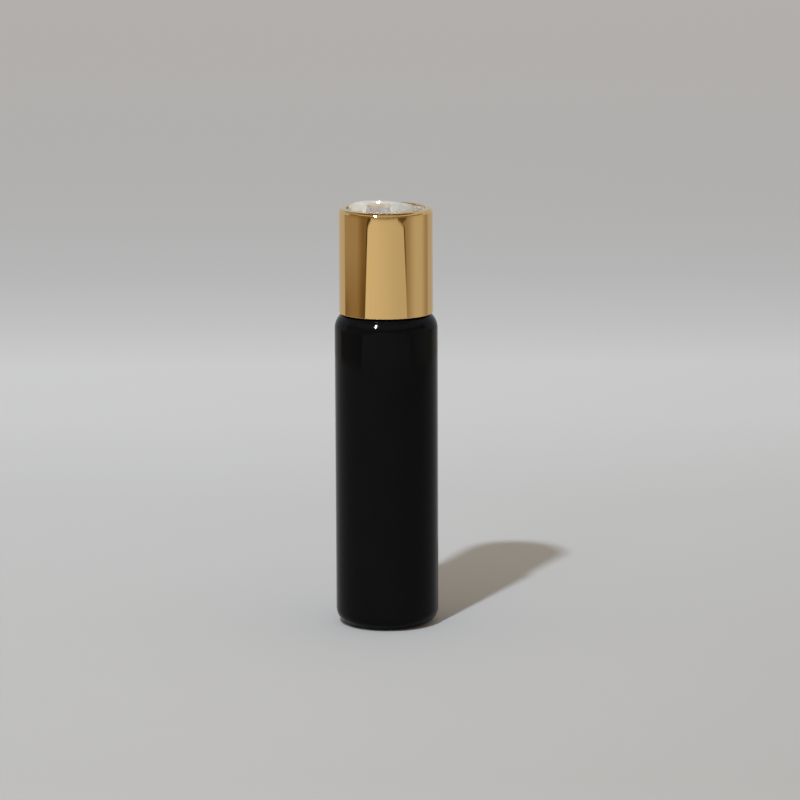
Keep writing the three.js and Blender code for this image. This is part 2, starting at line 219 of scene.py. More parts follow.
# Ramps of the mirrored studio: start, end and values there, in degrees off the camera's azimuth or metres
RIGHT_HALF = (-1, 1)
LEFT_WALL = (-76, -54, 0.36, 0.21)
LEFT_FOOT = (0.043, 0.07, 0.08, 0)
LEFT_FAR = (-112, -88, 0.06, 0)
LEFT_FAR_FOOT = (0.043, 0.055, 1, 0)
LEFT_END = (-120, -116)
RIGHT_WALL = (47, 80, 0.33, 0.54)
RIGHT_FAR = (92, 116, 0, 0.18)
RIGHT_END = (120, 124)
PANEL_LIGHT = (-48, 46, 0.71, 0.56)
PANEL_EDGE = (-0.7, 0.7)
PANEL_ROUNDING = (0.0747, 0.0796)
BORDER_WIDTH = (2, 4, 0.72, 0)
BORDER_RISE = (0.05, 0.0735)
LEFT_NOTCH = (0.0765, 0.0785, 0, 5)
RIGHT_NOTCH = (0.0774, 0.0792, 0, 20)
NOTCH_END = (0.0805, 0.083, 1, 0)
UPPER_START = (0.16, 0.2)
UPPER_LIGHT = (-110, -40, 0.37, 0.57)
UPPER_BAND = ((0.146, 0.15), (0.24, 0.265))
RIM_LINE = ((0.0795, 0.0797), (0.0806, 0.0808))
DARK_REACH = (112, 122, 1, 0)
CEILING_START = (0.42, 0.47)
CEILING_LIGHT = (36, 46, 0.4, 0.14)
REAR_REACH = (0.02, 0.08)
REAR_BAND = ((0.081, 0.09), (0.25, 0.32))

# Levels of light, sizes and tints of the mirrored studio
LEFT_END_LEVEL = 0.52
RIGHT_END_LEVEL = 0.48
DARK_LEVEL = 0.16
TINT_LEVELS = (0.15, 0.55)
PANEL_HALF = 50.1
PANEL_FOOT = 0.05
PANEL_TAPER = 240
LEFT_CORNER = 8
RIGHT_CORNER = 15
WARM_TINT = (1, 0.7, 0.36)
PALE_TINT = (1, 0.985, 0.96)
REAR_TINT = (0.50, 0.54, 0.58)

# Sockets of a Mix node that mixes colours
MIX_FACTOR, MIX_FIRST, MIX_SECOND, MIX_RESULT = 0, 6, 7, 2

# Heights and radii that follow from those
neck_bore = NECK_RADIUS - NECK_WALL
thread_radius = NECK_RADIUS + THREAD_HEIGHT
thread_start = mouth - THREAD_BELOW_MOUTH - THREAD_TURNS * THREAD_PITCH
shoulder_centre = body_radius - SHOULDER_RADIUS
shoulder_start = BODY_HEIGHT - SHOULDER_RADIUS
bead_bottom = BODY_HEIGHT + BEAD_LIFT
bead_top = bead_bottom + BEAD_THICKNESS
deck_bottom = liner_high.z + SEAT_GAP
deck_top = deck_bottom + DECK_THICKNESS
stop_top = deck_top + STOP_HEIGHT
shell_inner = shell_outer - SHELL_SHEET
lip_radius = WELL_RADIUS + LIP_ROUND
corner_centre = shell_outer - CORNER_ROUND
corner_height = lip_top - CORNER_ROUND
lip_bottom = lip_top - SHELL_SHEET
well_top = lip_bottom - SHELL_FIT
socket_radius = TRUNNION_RADIUS + TRUNNION_CLEARANCE
socket_end = skirt_outer - SOCKET_WEB
disc_top = lip_top - DISC_SINK - pivot_height
plate_radius = math.sqrt(DISC_RADIUS**2 - disc_top**2)
seat_radius = pivot_height - deck_top - SEAT_RISE
knuckle_radius = seat_radius - SEAT_CLEARANCE
saddle_reach = math.sqrt(seat_radius**2 - (FRONT_SKIRT + SADDLE_CLEARANCE) ** 2)
nozzle_top = disc_top - NOZZLE_ROOF
throat = -(DISC_RADIUS - NOZZLE_DEPTH)
duct_bottom = -FRONT_SKIRT + DUCT_WALL
duct_top = duct_bottom + DUCT_HEIGHT
block_half = NOZZLE_WIDTH / 2 + DUCT_WALL
block_rear = knuckle_radius * math.sin(tilt) + DUCT_HEIGHT / 2 + DUCT_WALL


def arc(centre, radius, start, end, steps=ARC_STEPS):
    """Points of radius and height along an arc, from one angle in degrees to another"""
    angles = [math.radians(start + (end - start) * i / steps) for i in range(steps + 1)]
    return [(centre[0] + radius * math.cos(a), centre[1] + radius * math.sin(a)) for a in angles]


def filleted(*stations):
    """An outline of radius and height, in which a third number rounds that corner"""
    points = []
    for i, (radius, height, *fillet) in enumerate(stations):
        corner = Vector((radius, height))
        if not fillet:
            points.append((radius, height))
            continue
        before = (Vector(stations[i - 1][:2]) - corner).normalized()
        after = (Vector(stations[(i + 1) % len(stations)][:2]) - corner).normalized()
        half = before.angle(after) / 2
        centre = corner + (before + after).normalized() * fillet[0] / math.sin(half)
        reach = fillet[0] / math.tan(half)
        first = corner + before * reach - centre
        last = corner + after * reach - centre
        for step in range(FILLET_STEPS + 1):
            spoke = first.lerp(last, step / FILLET_STEPS).normalized() * fillet[0]
            points.append(tuple(centre + spoke))
    return points


def direction(azimuth, elevation):
    """The way from the bottle to a place at an azimuth, where 0 is straight in front, and an elevation"""
    level = math.cos(elevation)
    return Vector((math.sin(azimuth) * level, -math.cos(azimuth) * level, math.sin(elevation)))


def select_only(piece):
    """Makes one piece the active one, with nothing else selected"""
    bpy.ops.object.select_all(action="DESELECT")
    piece.select_set(True)
    bpy.context.view_layer.objects.active = piece


def open_for_editing(piece):
    """Opens one piece in edit mode, with nothing else selected"""
    select_only(piece)
    bpy.ops.object.mode_set(mode="EDIT")


def close_editing(name):
    """Leaves edit mode and names the piece"""
    bpy.ops.object.mode_set(mode="OBJECT")
    shape = bpy.context.object
    shape.name = name
    shape.data.name = name
    return shape


def pick(kind, test):
    """Selects the vertices, edges or faces whose middle passes a test"""
    bpy.ops.mesh.select_mode(type=kind)
    bpy.ops.mesh.select_all(action="DESELECT")
    mesh = bmesh.from_edit_mesh(bpy.context.edit_object.data)
    for item in {"VERT": mesh.verts, "EDGE": mesh.edges, "FACE": mesh.faces}[kind]:
        corners = [item] if kind == "VERT" else item.verts
        if test(sum((corner.co for corner in corners), Vector()) / len(corners)):
            item.select_set(True)
    mesh.select_flush_mode()
    bmesh.update_edit_mesh(bpy.context.edit_object.data)


def mend_mesh():
    """Merges the doubles of the piece in edit mode and turns its faces outwards"""
    bpy.ops.mesh.select_all(action="SELECT")
    bpy.ops.mesh.remove_doubles(threshold=WELD)
    bpy.ops.mesh.normals_make_consistent(inside=False)


def spun(name, outline):
    """A shape turned about the Z axis from an outline of radius and height, drawn point after point"""
    bpy.ops.object.select_all(action="DESELECT")
    bpy.ops.mesh.primitive_plane_add(size=MM)
    bpy.ops.object.mode_set(mode="EDIT")
    bpy.ops.mesh.select_mode(type="VERT")
    bpy.ops.mesh.merge(type="CENTER")
    places = [Vector((radius, 0, height)) for radius, height in outline]
    bpy.ops.transform.translate(value=places[0])
    for place, following in zip(places, places[1:]):
        bpy.ops.mesh.extrude_region_move(TRANSFORM_OT_translate={"value": following - place})
    bpy.ops.mesh.select_all(action="SELECT")
    bpy.ops.mesh.spin(steps=ROUND_STEPS, angle=2 * math.pi, center=(0, 0, 0), axis=(0, 0, 1))
    mend_mesh()
    return close_editing(name)


def block(name, x, y, z):
    """A block between two limits on each axis"""
    bpy.ops.object.select_all(action="DESELECT")
    middle = [(low + high) / 2 for low, high in (x, y, z)]
    size = [high - low for low, high in (x, y, z)]
    bpy.ops.mesh.primitive_cube_add(size=1, location=middle, scale=size)
    bpy.ops.object.transform_apply()
    return close_editing(name)


def bar(name, radius, limits, height=0, steps=PIN_STEPS):
    """A round bar along X at a height"""
    bpy.ops.object.select_all(action="DESELECT")
    bpy.ops.mesh.primitive_cylinder_add(
        vertices=steps,
        radius=radius,
        depth=limits[1] - limits[0],
        location=((limits[0] + limits[1]) / 2, 0, height),
        rotation=(0, math.pi / 2, 0),
    )
    bpy.ops.object.transform_apply()
    return close_editing(name)


def apply_modifier(piece, kind, **settings):
    """Adds a modifier to a piece and applies it"""
    select_only(piece)
    bpy.ops.object.modifier_add(type=kind)
    modifier = piece.modifiers[-1]
    for setting, value in settings.items():
        setattr(modifier, setting, value)
    bpy.ops.object.modifier_apply(modifier=modifier.name)


def combine(piece, operation, *others):
    """Joins other shapes to a piece, or cuts it by them, and removes them"""
    for other in others:
        apply_modifier(piece, "BOOLEAN", operation=operation, solver="EXACT", object=other)
        bpy.data.objects.remove(other)


def move(shape, offset, turn=0):
    """Turns a shape about the X axis, then moves it, and keeps its object at the origin"""
    select_only(shape)
    shape.rotation_euler.x = turn
    shape.location = offset
    bpy.ops.object.transform_apply()


def smooth(piece):
    """Smooth shading with creases at the sharp edges, and flat faces kept flat"""
    open_for_editing(piece)
    mend_mesh()
    bpy.ops.object.mode_set(mode="OBJECT")
    bpy.ops.object.shade_smooth_by_angle(angle=CREASE)
    apply_modifier(piece, "WEIGHTED_NORMAL", keep_sharp=True)


def thread_ridge(name, wall, crest, crest_width, start):
    """A screw thread's ridge: a trapezoid wound up its wall, which fades into the wall at both ends"""
    outward = math.copysign(1, crest - wall)
    root = wall - outward * THREAD_SINK
    faded = wall - outward * THREAD_SINK / 2
    middle = (crest + root) / 2
    root_width = crest_width + 2 * abs(crest - root) * math.tan(THREAD_FLANK)
    steps = round(THREAD_TURNS * THREAD_STEPS)
    fade_steps = round(THREAD_FADE_TURNS * THREAD_STEPS)

    bpy.ops.object.select_all(action="DESELECT")
    bpy.ops.mesh.primitive_plane_add(size=1, rotation=(math.pi / 2, 0, 0))
    bpy.ops.object.transform_apply()
    bpy.ops.object.mode_set(mode="EDIT")
    bpy.ops.transform.resize(value=(abs(crest - root), 1, root_width))
    bpy.ops.transform.translate(value=(middle, 0, start))
    pick("VERT", lambda place: (place.x - middle) * outward > 0)
    bpy.ops.transform.resize(value=(1, 1, crest_width / root_width), center_override=(crest, 0, start))
    bpy.ops.mesh.select_all(action="SELECT")
    bpy.ops.mesh.delete(type="ONLY_FACE")
    ridge = close_editing(name)
    apply_modifier(
        ridge,
        "SCREW",
        angle=THREAD_TURNS * 2 * math.pi,
        screw_offset=THREAD_TURNS * THREAD_PITCH,
        steps=steps,
        render_steps=steps,
    )

    def step_of(place):
        """How many steps along the ridge a place is"""
        turn = math.atan2(place.y, place.x) / (2 * math.pi)
        return round((turn + round((place.z - start) / THREAD_PITCH - turn)) * THREAD_STEPS)

    open_for_editing(ridge)
    for step in range(fade_steps):
        radius = faded + (crest - faded) * step / fade_steps
        pick(
            "VERT",
            lambda place: step_of(place) in (step, steps - step)
            and (place.xy.length - middle) * outward > 0,
        )
        bpy.ops.transform.resize(value=(radius / crest, radius / crest, 1), center_override=(0, 0, start))
    bpy.ops.mesh.select_all(action="SELECT")
    bpy.ops.mesh.fill_holes(sides=4)
    mend_mesh()
    return close_editing(name)


def make_bottle():
    """The blown bottle: base with a push-up, heel, wall, shoulder, neck with bead and thread, and inside"""
    heel_centre = body_radius - HEEL_RADIUS
    ring_inner = heel_centre - STANDING_RING_WIDTH
    dome_radius = (ring_inner**2 + BASE_PUSH_UP**2) / (2 * BASE_PUSH_UP)
    dome_centre = BASE_PUSH_UP - dome_radius
    dome_start = math.degrees(math.acos(GATE_RADIUS / dome_radius))
    dome_end = math.degrees(math.acos(ring_inner / dome_radius))
    inside_heel = HEEL_RADIUS - BODY_WALL
    inside_shoulder = SHOULDER_RADIUS - BODY_WALL
    inside_start = BODY_HEIGHT - BODY_WALL - inside_shoulder
    neck_join = math.degrees(math.acos((NECK_RADIUS - shoulder_centre) / SHOULDER_RADIUS))
    bead = filleted(
        (NECK_RADIUS, bead_bottom),
        (BEAD_RADIUS, bead_bottom + BEAD_SLOPE, BEAD_ROUND),
        (BEAD_RADIUS, bead_top, BEAD_ROUND),
        (NECK_RADIUS, bead_top),
    )
    outline = [
        (0, BASE_PUSH_UP - GATE_HEIGHT),
        (GATE_RADIUS - GATE_HEIGHT, BASE_PUSH_UP - GATE_HEIGHT),
        *arc((0, dome_centre), dome_radius, dome_start, dome_end),
        *arc((heel_centre, HEEL_RADIUS), HEEL_RADIUS, -90, 0),
        *arc((shoulder_centre, shoulder_start), SHOULDER_RADIUS, 0, neck_join),
        *bead,
        *arc((NECK_RADIUS - MOUTH_ROUND, mouth - MOUTH_ROUND), MOUTH_ROUND, 0, 90, FILLET_STEPS),
        (neck_bore, mouth),
        (neck_bore, inside_start + inside_shoulder),
        *arc((shoulder_centre, inside_start), inside_shoulder, 90, 0),
        *arc((heel_centre, BODY_WALL + inside_heel), inside_heel, 0, -90),
        *arc((0, dome_centre + BODY_WALL), dome_radius, dome_end, 90),
    ]
    bottle = spun("bottle_body", outline)
    crest_width = THREAD_CREST_SHARE * THREAD_PITCH
    ridge = thread_ridge("neck_thread", NECK_RADIUS, thread_radius, crest_width, thread_start)
    combine(bottle, "UNION", ridge)
    smooth(bottle)
    return bottle


def make_liner():
    """The soft ring between the mouth and the deck of the cap"""
    outline = filleted(
        (neck_bore, liner_low.z, LINER_ROUND),
        (liner_high.x, liner_low.z, LINER_ROUND),
        (liner_high.x, liner_high.z, LINER_ROUND),
        (neck_bore, liner_high.z, LINER_ROUND),
    )
    liner = spun("mouth_liner", [*outline, outline[0]])
    smooth(liner)
    return liner


def make_shell():
    """The gold sheet shell, with an eased lower edge, turned in at the top to a flat lip round the well"""
    inner_corner = CORNER_ROUND - SHELL_SHEET
    lower_edge = filleted(
        (shell_inner, corner_height),
        (shell_inner, shell_low.z, SHELL_EDGE),
        (shell_outer, shell_low.z, SHELL_EDGE),
        (shell_outer, corner_height),
    )
    outline = [
        *lower_edge,
        *arc((corner_centre, corner_height), CORNER_ROUND, 0, 90),
        *arc((lip_radius, lip_top - LIP_ROUND), LIP_ROUND, 90, 180, FILLET_STEPS),
        (WELL_RADIUS, lip_bottom),
        *arc((corner_centre, corner_height), inner_corner, 90, 0),
    ]
    shell = spun("gold_shell", outline)
    smooth(shell)
    return shell


def make_cap():
    """The moulded screw cap: threaded skirt, deck with a port, rocking seat, stop, well and sockets"""
    crown_round = CORNER_ROUND - SHELL_SHEET - SHELL_FIT
    outline = [
        (0, deck_bottom),
        (SKIRT_INNER, deck_bottom),
        (SKIRT_INNER, cap_low.z + SKIRT_LEAD_IN),
        (SKIRT_INNER + SKIRT_LEAD_IN, cap_low.z),
        (skirt_outer, cap_low.z),
        *arc((corner_centre, corner_height), crown_round, 0, 90),
        (WELL_RADIUS, well_top),
        *arc((WELL_RADIUS - DECK_ROUND, deck_top + DECK_ROUND), DECK_ROUND, 0, -90, FILLET_STEPS),
        (0, deck_top),
    ]
    cap = spun("screw_cap", outline)

    crest = NECK_RADIUS + THREAD_CLEARANCE
    flank_spread = 2 * (thread_radius - crest) * math.tan(THREAD_FLANK)
    crest_width = THREAD_PITCH * (1 - THREAD_CREST_SHARE) - flank_spread - 2 * THREAD_PLAY
    ridge = thread_ridge("cap_thread", SKIRT_INNER, crest, crest_width, thread_start - THREAD_PITCH / 2)

    sunk_deck = deck_top - BITE
    saddle = block(
        "saddle", (-block_half, block_half), (-saddle_reach, saddle_reach), (sunk_deck, pivot_height)
    )
    seat = bar("seat", seat_radius, (-WELL_RADIUS, WELL_RADIUS), pivot_height, ROUND_STEPS)
    combine(saddle, "DIFFERENCE", seat)
    stop = block(
        "stop",
        (-STOP_WIDTH / 2, STOP_WIDTH / 2),
        (WELL_RADIUS - STOP_LENGTH, WELL_RADIUS + BITE),
        (sunk_deck, stop_top),
    )
    port = block(
        "port",
        (-DUCT_WIDTH / 2, DUCT_WIDTH / 2),
        (-DUCT_HEIGHT / 2, DUCT_HEIGHT / 2),
        (deck_bottom - OVERSHOOT, pivot_height),
    )
    sockets = bar("sockets", socket_radius, (-socket_end, socket_end), pivot_height)
    combine(cap, "UNION", ridge, saddle, stop)
    combine(cap, "DIFFERENCE", port, sockets)
    smooth(cap)
    return cap


def make_duct_block():
    """The block under the disc's plate that holds the duct, round below where it rocks on its seat"""
    plate_middle = disc_top - DISC_PLATE / 2
    across = (-block_half, block_half)
    front = block("duct_block", across, (-DISC_RADIUS, 0), (-FRONT_SKIRT + WELD, plate_middle))
    bpy.ops.mesh.primitive_uv_sphere_add(
        segments=ROUND_STEPS,
        ring_count=ROUND_STEPS // 2,
        radius=DISC_RADIUS - DISC_WALL / 2,
    )
    combine(front, "INTERSECT", close_editing("wall_middle"))
    knuckle = bar("knuckle", knuckle_radius, across, 0, ROUND_STEPS)
    open_for_editing(knuckle)
    for place, normal in (((0, 0, plate_middle), (0, 0, 1)), ((0, block_rear, 0), (0, 1, 0))):
        bpy.ops.mesh.select_all(action="SELECT")
        bpy.ops.mesh.bisect(plane_co=place, plane_no=normal, use_fill=True, clear_outer=True)
    mend_mesh()
    combine(front, "UNION", close_editing("knuckle"))
    return front


def make_passage():
    """The hollow of the nozzle and duct: a funnel from mouth to throat, a leg back and a rising leg"""
    across = (-DUCT_WIDTH / 2, DUCT_WIDTH / 2)
    mouth_end = -DISC_RADIUS - OVERSHOOT
    spread = (throat - mouth_end) / NOZZLE_DEPTH
    top = duct_top + (nozzle_top - duct_top) * spread
    bottom = duct_bottom + (nozzle_top - NOZZLE_HEIGHT - duct_bottom) * spread
    width = DUCT_WIDTH + (NOZZLE_WIDTH - DUCT_WIDTH) * spread
    funnel = block("passage", across, (mouth_end, throat), (duct_bottom, duct_top))
    open_for_editing(funnel)
    pick("FACE", lambda place: place.y < mouth_end + WELD)
    duct_middle = (duct_bottom + duct_top) / 2
    bpy.ops.transform.resize(
        value=(width / DUCT_WIDTH, 1, (top - bottom) / DUCT_HEIGHT),
        center_override=(0, mouth_end, duct_middle),
    )
    bpy.ops.transform.translate(value=(0, 0, (top + bottom) / 2 - duct_middle))
    pick("EDGE", lambda place: mouth_end + WELD < place.y < throat - WELD)
    bpy.ops.mesh.bevel(offset=NOZZLE_ROUND, segments=FILLET_STEPS)
    close_editing("passage")

    along = (-DUCT_HEIGHT / 2, DUCT_HEIGHT / 2)
    rising = block("rising_leg", across, along, (-knuckle_radius - OVERSHOOT, duct_top))
    move(rising, (0, 0, 0), tilt)
    bend = -duct_top * math.sin(tilt) + DUCT_HEIGHT / 2 * math.cos(tilt)
    forward = block("forward_leg", across, (throat, bend), (duct_bottom, duct_top))
    combine(funnel, "UNION", forward, rising)
    return funnel


def make_dish():
    """The hollow of the finger dish in the rear half of the plate"""
    ball_radius = (DISH_RADIUS**2 + DISH_DEPTH**2) / (2 * DISH_DEPTH)
    ball_centre = (0, disc_top - DISH_DEPTH + ball_radius)
    rim = -math.degrees(math.acos(DISH_RADIUS / ball_radius))
    above = disc_top + OVERSHOOT
    dish = spun("dish", [*arc(ball_centre, ball_radius, -90, rim), (DISH_RADIUS, above), (0, above)])
    move(dish, (0, plate_radius - DISH_MARGIN - DISH_RADIUS, 0))
    return dish


def make_disc():
    """The moulded disc, shaped closed about its pivot, then tipped open and set in the well"""
    inner_radius = DISC_RADIUS - DISC_WALL
    ceiling = disc_top - DISC_PLATE
    edge_height = disc_top - DISC_EDGE
    edge_angle = math.asin(edge_height / DISC_RADIUS)
    edge_centre = (DISC_RADIUS * math.cos(edge_angle) - DISC_EDGE, edge_height)
    inner_start = math.degrees(math.asin(ceiling / inner_radius))
    inner_end = -math.degrees(math.asin(FRONT_SKIRT / inner_radius))
    outer_start = -math.degrees(math.asin(FRONT_SKIRT / DISC_RADIUS))
    outline = [
        (0, ceiling),
        *arc((0, 0), inner_radius, inner_start, inner_end),
        *arc((0, 0), DISC_RADIUS, outer_start, math.degrees(edge_angle)),
        *arc(edge_centre, DISC_EDGE, 0, 90),
        (0, disc_top),
    ]
    disc = spun("tilt_disc_moulding", outline)
    beyond = DISC_RADIUS + OVERSHOOT
    rear = block("rear", (-beyond, beyond), (REAR_SKIRT_START, beyond), (-beyond, -REAR_SKIRT))
    combine(disc, "DIFFERENCE", rear)
    trunnion_start = DISC_RADIUS - DISC_WALL / 2
    trunnion_end = socket_end - TRUNNION_CLEARANCE
    left = bar("left_trunnion", TRUNNION_RADIUS, (-trunnion_end, -trunnion_start))
    right = bar("right_trunnion", TRUNNION_RADIUS, (trunnion_start, trunnion_end))
    combine(disc, "UNION", make_duct_block(), left, right)
    combine(disc, "DIFFERENCE", make_passage(), make_dish())
    move(disc, (0, 0, pivot_height), -tilt)
    smooth(disc)
    return disc


class Shade:
    """A socket of a node tree that takes part in expressions"""

    def __init__(self, tree, socket=None):
        self.tree = tree
        self.socket = socket

    def node(self, kind, settings=None, sockets=None, output=0):
        """Adds a node: its settings first, then the values or links of its sockets"""
        node = self.tree.nodes.new(kind)
        for name, value in (settings or {}).items():
            if name == "stops":
                self.set_stops(node.color_ramp.elements, value)
            else:
                setattr(node, name, value)
        for name, value in (sockets or {}).items():
            if isinstance(value, Shade):
                self.tree.links.new(value.socket, node.inputs[name])
            else:
                node.inputs[name].default_value = value
        return Shade(self.tree, node.outputs[output] if node.outputs else None)

    @staticmethod
    def set_stops(elements, stops):
        """Gives a colour ramp its stops, as places and colours"""
        while len(elements) < len(stops):
            elements.new(1)
        for element, (place, colour) in zip(elements, stops):
            element.position = place
            element.color = (*colour, 1)

    def maths(self, operation, *values):
        """A Math node on values"""
        return self.node("ShaderNodeMath", {"operation": operation}, dict(enumerate(values)))

    def __add__(self, other):
        return self.maths("ADD", self, other)

    def __radd__(self, other):
        return self.maths("ADD", other, self)

    def __sub__(self, other):
        return self.maths("SUBTRACT", self, other)

    def __rsub__(self, other):
        return self.maths("SUBTRACT", other, self)

    def __mul__(self, other):
        return self.maths("MULTIPLY", self, other)

    def __rmul__(self, other):
        return self.maths("MULTIPLY", other, self)

    def __truediv__(self, other):
        return self.maths("DIVIDE", self, other)


def new_material(name):
    """An empty material and the maker of its nodes"""
    material = bpy.data.materials.new(name)
    material.use_nodes = True
    material.node_tree.nodes.clear()
    return material, Shade(material.node_tree)


def finish_material(shade, sockets):
    """The surface shader of a material, with its constants and links"""
    surface = shade.node("ShaderNodeBsdfPrincipled", sockets=sockets)
    shade.node("ShaderNodeOutputMaterial", sockets={"Surface": surface})


def place_of(shade):
    """The place on the piece, as a vector"""
    return shade.node("ShaderNodeTexCoord", output="Object")


def far_behind(shade, place):
    """How far behind the bottle a place is, straight away from the camera's azimuth"""
    sockets = {0: place, 1: -direction(CAMERA_AZIMUTH, 0)}
    return shade.node("ShaderNodeVectorMath", {"operation": "DOT_PRODUCT"}, sockets, "Value")


def noise(shade, vector, scale, detail):
    """A noise value from 0 to 1"""
    sockets = {"Vector": vector, "Scale": scale, "Detail": detail}
    return shade.node("ShaderNodeTexNoise", sockets=sockets)


def mixed(shade, factor, first, second):
    """A colour between two, each a constant or a socket"""
    first, second = [colour if isinstance(colour, Shade) else (*colour, 1) for colour in (first, second)]
    sockets = {MIX_FACTOR: factor, MIX_FIRST: first, MIX_SECOND: second}
    return shade.node("ShaderNodeMix", {"data_type": "RGBA"}, sockets, MIX_RESULT)


def ranged(shade, value, low, high, to_low=0.0, to_high=1.0):
    """A value taken smoothly from one range to another, and held at its ends"""
    settings = {"interpolation_type": "SMOOTHSTEP"}
    sockets = dict(enumerate((value, low, high, to_low, to_high)))
    return shade.node("ShaderNodeMapRange", settings, sockets)


def between(shade, value, start, end):
    """1 between two ramps of a value, up from 0 along the first and back to 0 along the second"""
    return ranged(shade, value, *start) * ranged(shade, value, *end, 1, 0)


def blend(factor, first, second):
    """A value that goes from one to another with a factor"""
    return first + (second - first) * factor


def bump(shade, height, distance):
    """A bumped normal"""
    return shade.node("ShaderNodeBump", sockets={"Height": height, "Distance": distance})


def black_blown_plastic():
    """Glossy black blown plastic, with a faint ripple and handling haze"""
    material, shade = new_material("black_blown_plastic")
    place = place_of(shade)
    haze = noise(shade, place, scale=90, detail=4)
    specks = noise(shade, place, scale=2600, detail=2)
    ripple = noise(shade, place, scale=120, detail=1)
    finish_material(
        shade,
        {
            "Base Color": mixed(shade, haze, *BLACK_TONES),
            "Roughness": 0.035 + haze * 0.03 + specks * 0.02,
            "Specular IOR Level": 0.06,
            "Normal": bump(shade, ripple, BLOWN_RIPPLE),
        },
    )
    return material


def polished_gold():
    """Polished gold anodised sheet, with faint streaks up and down it"""
    material, shade = new_material("polished_gold")
    place = place_of(shade)
    stretched = shade.node("ShaderNodeMapping", sockets={"Vector": place, "Scale": STREAK_STRETCH})
    streaks = noise(shade, stretched, scale=900, detail=3)
    cloud = noise(shade, place, scale=140, detail=3)
    wave = noise(shade, place, scale=70, detail=0)
    finish_material(
        shade,
        {
            "Base Color": mixed(shade, streaks * 0.7 + cloud * 0.3, *GOLD_TONES),
            "Metallic": 1.0,
            "Roughness": 0.012 + streaks * 0.02 + cloud * 0.02,
            "Normal": bump(shade, wave, SHEET_WAVE),
        },
    )
    return material


def white_moulded_plastic(name, light, dark, inside=None):
    """White moulded plastic with a fine mould grain and a faint flow pattern, and a painted glow inside the
    nozzle where a glow tone is given
    """
    material, shade = new_material(name)
    place = place_of(shade)
    flow = noise(shade, place, scale=260, detail=3)
    grain = noise(shade, place, scale=5200, detail=2)
    tone = mixed(shade, flow, light, dark)
    # Painted glow: the nozzle's inside is mixed to a lighter tone, for light through the thin plate
    if inside:
        tone = mixed(shade, painted_nozzle_glow(shade, place), tone, inside)
    finish_material(
        shade,
        {
            "Base Color": tone,
            "Roughness": 0.08 + flow * 0.04 + grain * 0.03,
            "Specular IOR Level": 0.34,
            "Subsurface Weight": 0.7,
            "Subsurface Radius": (1.0, 0.92, 0.8),
            "Subsurface Scale": 1.6 * MM,
            "Normal": bump(shade, grain, MOULD_GRAIN),
        },
    )
    return material


def painted_nozzle_glow(shade, place):
    """1 on the walls of the nozzle and duct, where a lighter painted glow stands in for the light that the
    thin plate lets through
    """
    sockets = {"Vector": place, "Location": (0, 0, pivot_height), "Rotation": (-tilt, 0, 0)}
    closed = shade.node("ShaderNodeMapping", {"vector_type": "TEXTURE"}, sockets)
    reach = shade.node("ShaderNodeVectorMath", {"operation": "LENGTH"}, {0: closed}, "Value")
    height = shade.node("ShaderNodeSeparateXYZ", sockets={0: closed}, output="Z")
    top = [nozzle_top + rise for rise in GLOW_ABOVE_NOZZLE]
    front = [DISC_RADIUS - depth for depth in GLOW_BEHIND_FRONT]
    return ranged(shade, reach, *front, 1, 0) * ranged(shade, height, *top, 1, 0)


def foam_liner():
    """Closed cell foam"""
    material, shade = new_material("foam_liner")
    place = place_of(shade)
    cells = shade.node("ShaderNodeTexVoronoi", sockets={"Vector": place, "Scale": 4200.0})
    finish_material(
        shade,
        {
            "Base Color": mixed(shade, cells, *FOAM_TONES),
            "Roughness": 0.75 + cells * 0.15,
            "Normal": bump(shade, cells, FOAM_CELLS),
        },
    )
    return material


def pale_paper():
    """The matt pale sheet that the bottle stands on, with painted light that makes it a little brighter and
    cooler behind the bottle
    """
    material, shade = new_material("pale_paper")
    place = place_of(shade)
    # Painted light: the paper's tone follows the distance behind the bottle
    nearest, farthest = FLOOR_PAINTED_LIGHT[0][0], FLOOR_PAINTED_LIGHT[-1][0]
    share = (far_behind(shade, place) - nearest) / (farthest - nearest)
    stops = [((reach - nearest) / (farthest - nearest), tone) for reach, tone in FLOOR_PAINTED_LIGHT]
    grain = noise(shade, place, scale=900, detail=3)
    sockets = {
        "Base Color": shade.node("ShaderNodeValToRGB", {"stops": stops}, {0: share}),
        "Roughness": 0.85 + grain * 0.1,
        "Specular IOR Level": 0.2,
        "Normal": bump(shade, grain, PAPER_GRAIN),
    }
    finish_material(shade, sockets)
    return material


def surround_walls(shade, azimuth, height, right):
    """Levels of the mirrored walls: a dim left one, darker at its foot, and a pale right one"""
    foot = ranged(shade, height, *LEFT_FOOT)
    far_foot = ranged(shade, azimuth, *LEFT_FAR) * ranged(shade, height, *LEFT_FAR_FOOT)
    left_wall = ranged(shade, azimuth, *LEFT_WALL) - (foot + far_foot)
    right_wall = ranged(shade, azimuth, *RIGHT_WALL) - ranged(shade, azimuth, *RIGHT_FAR)
    level = blend(right, left_wall, right_wall)
    level = blend(ranged(shade, azimuth, *LEFT_END), LEFT_END_LEVEL, level)
    return blend(ranged(shade, azimuth, *RIGHT_END), level, RIGHT_END_LEVEL)


def with_panel(shade, level, azimuth, height, right):
    """Levels with the bright front panel, which has rounded top corners and a dark border"""
    rounding = ranged(shade, height, *PANEL_ROUNDING)
    corner = rounding * rounding * blend(right, LEFT_CORNER, RIGHT_CORNER)
    half = PANEL_HALF - (height - PANEL_FOOT) * PANEL_TAPER - corner
    outside = shade.maths("ABSOLUTE", azimuth) - half
    notch = blend(right, ranged(shade, height, *LEFT_NOTCH), ranged(shade, height, *RIGHT_NOTCH))
    notch = notch * ranged(shade, height, *NOTCH_END)
    border = ranged(shade, outside - notch, *BORDER_WIDTH) * ranged(shade, height, *BORDER_RISE)
    panel = ranged(shade, azimuth, *PANEL_LIGHT)
    return blend(ranged(shade, outside, *PANEL_EDGE), panel, level * (1 - border))


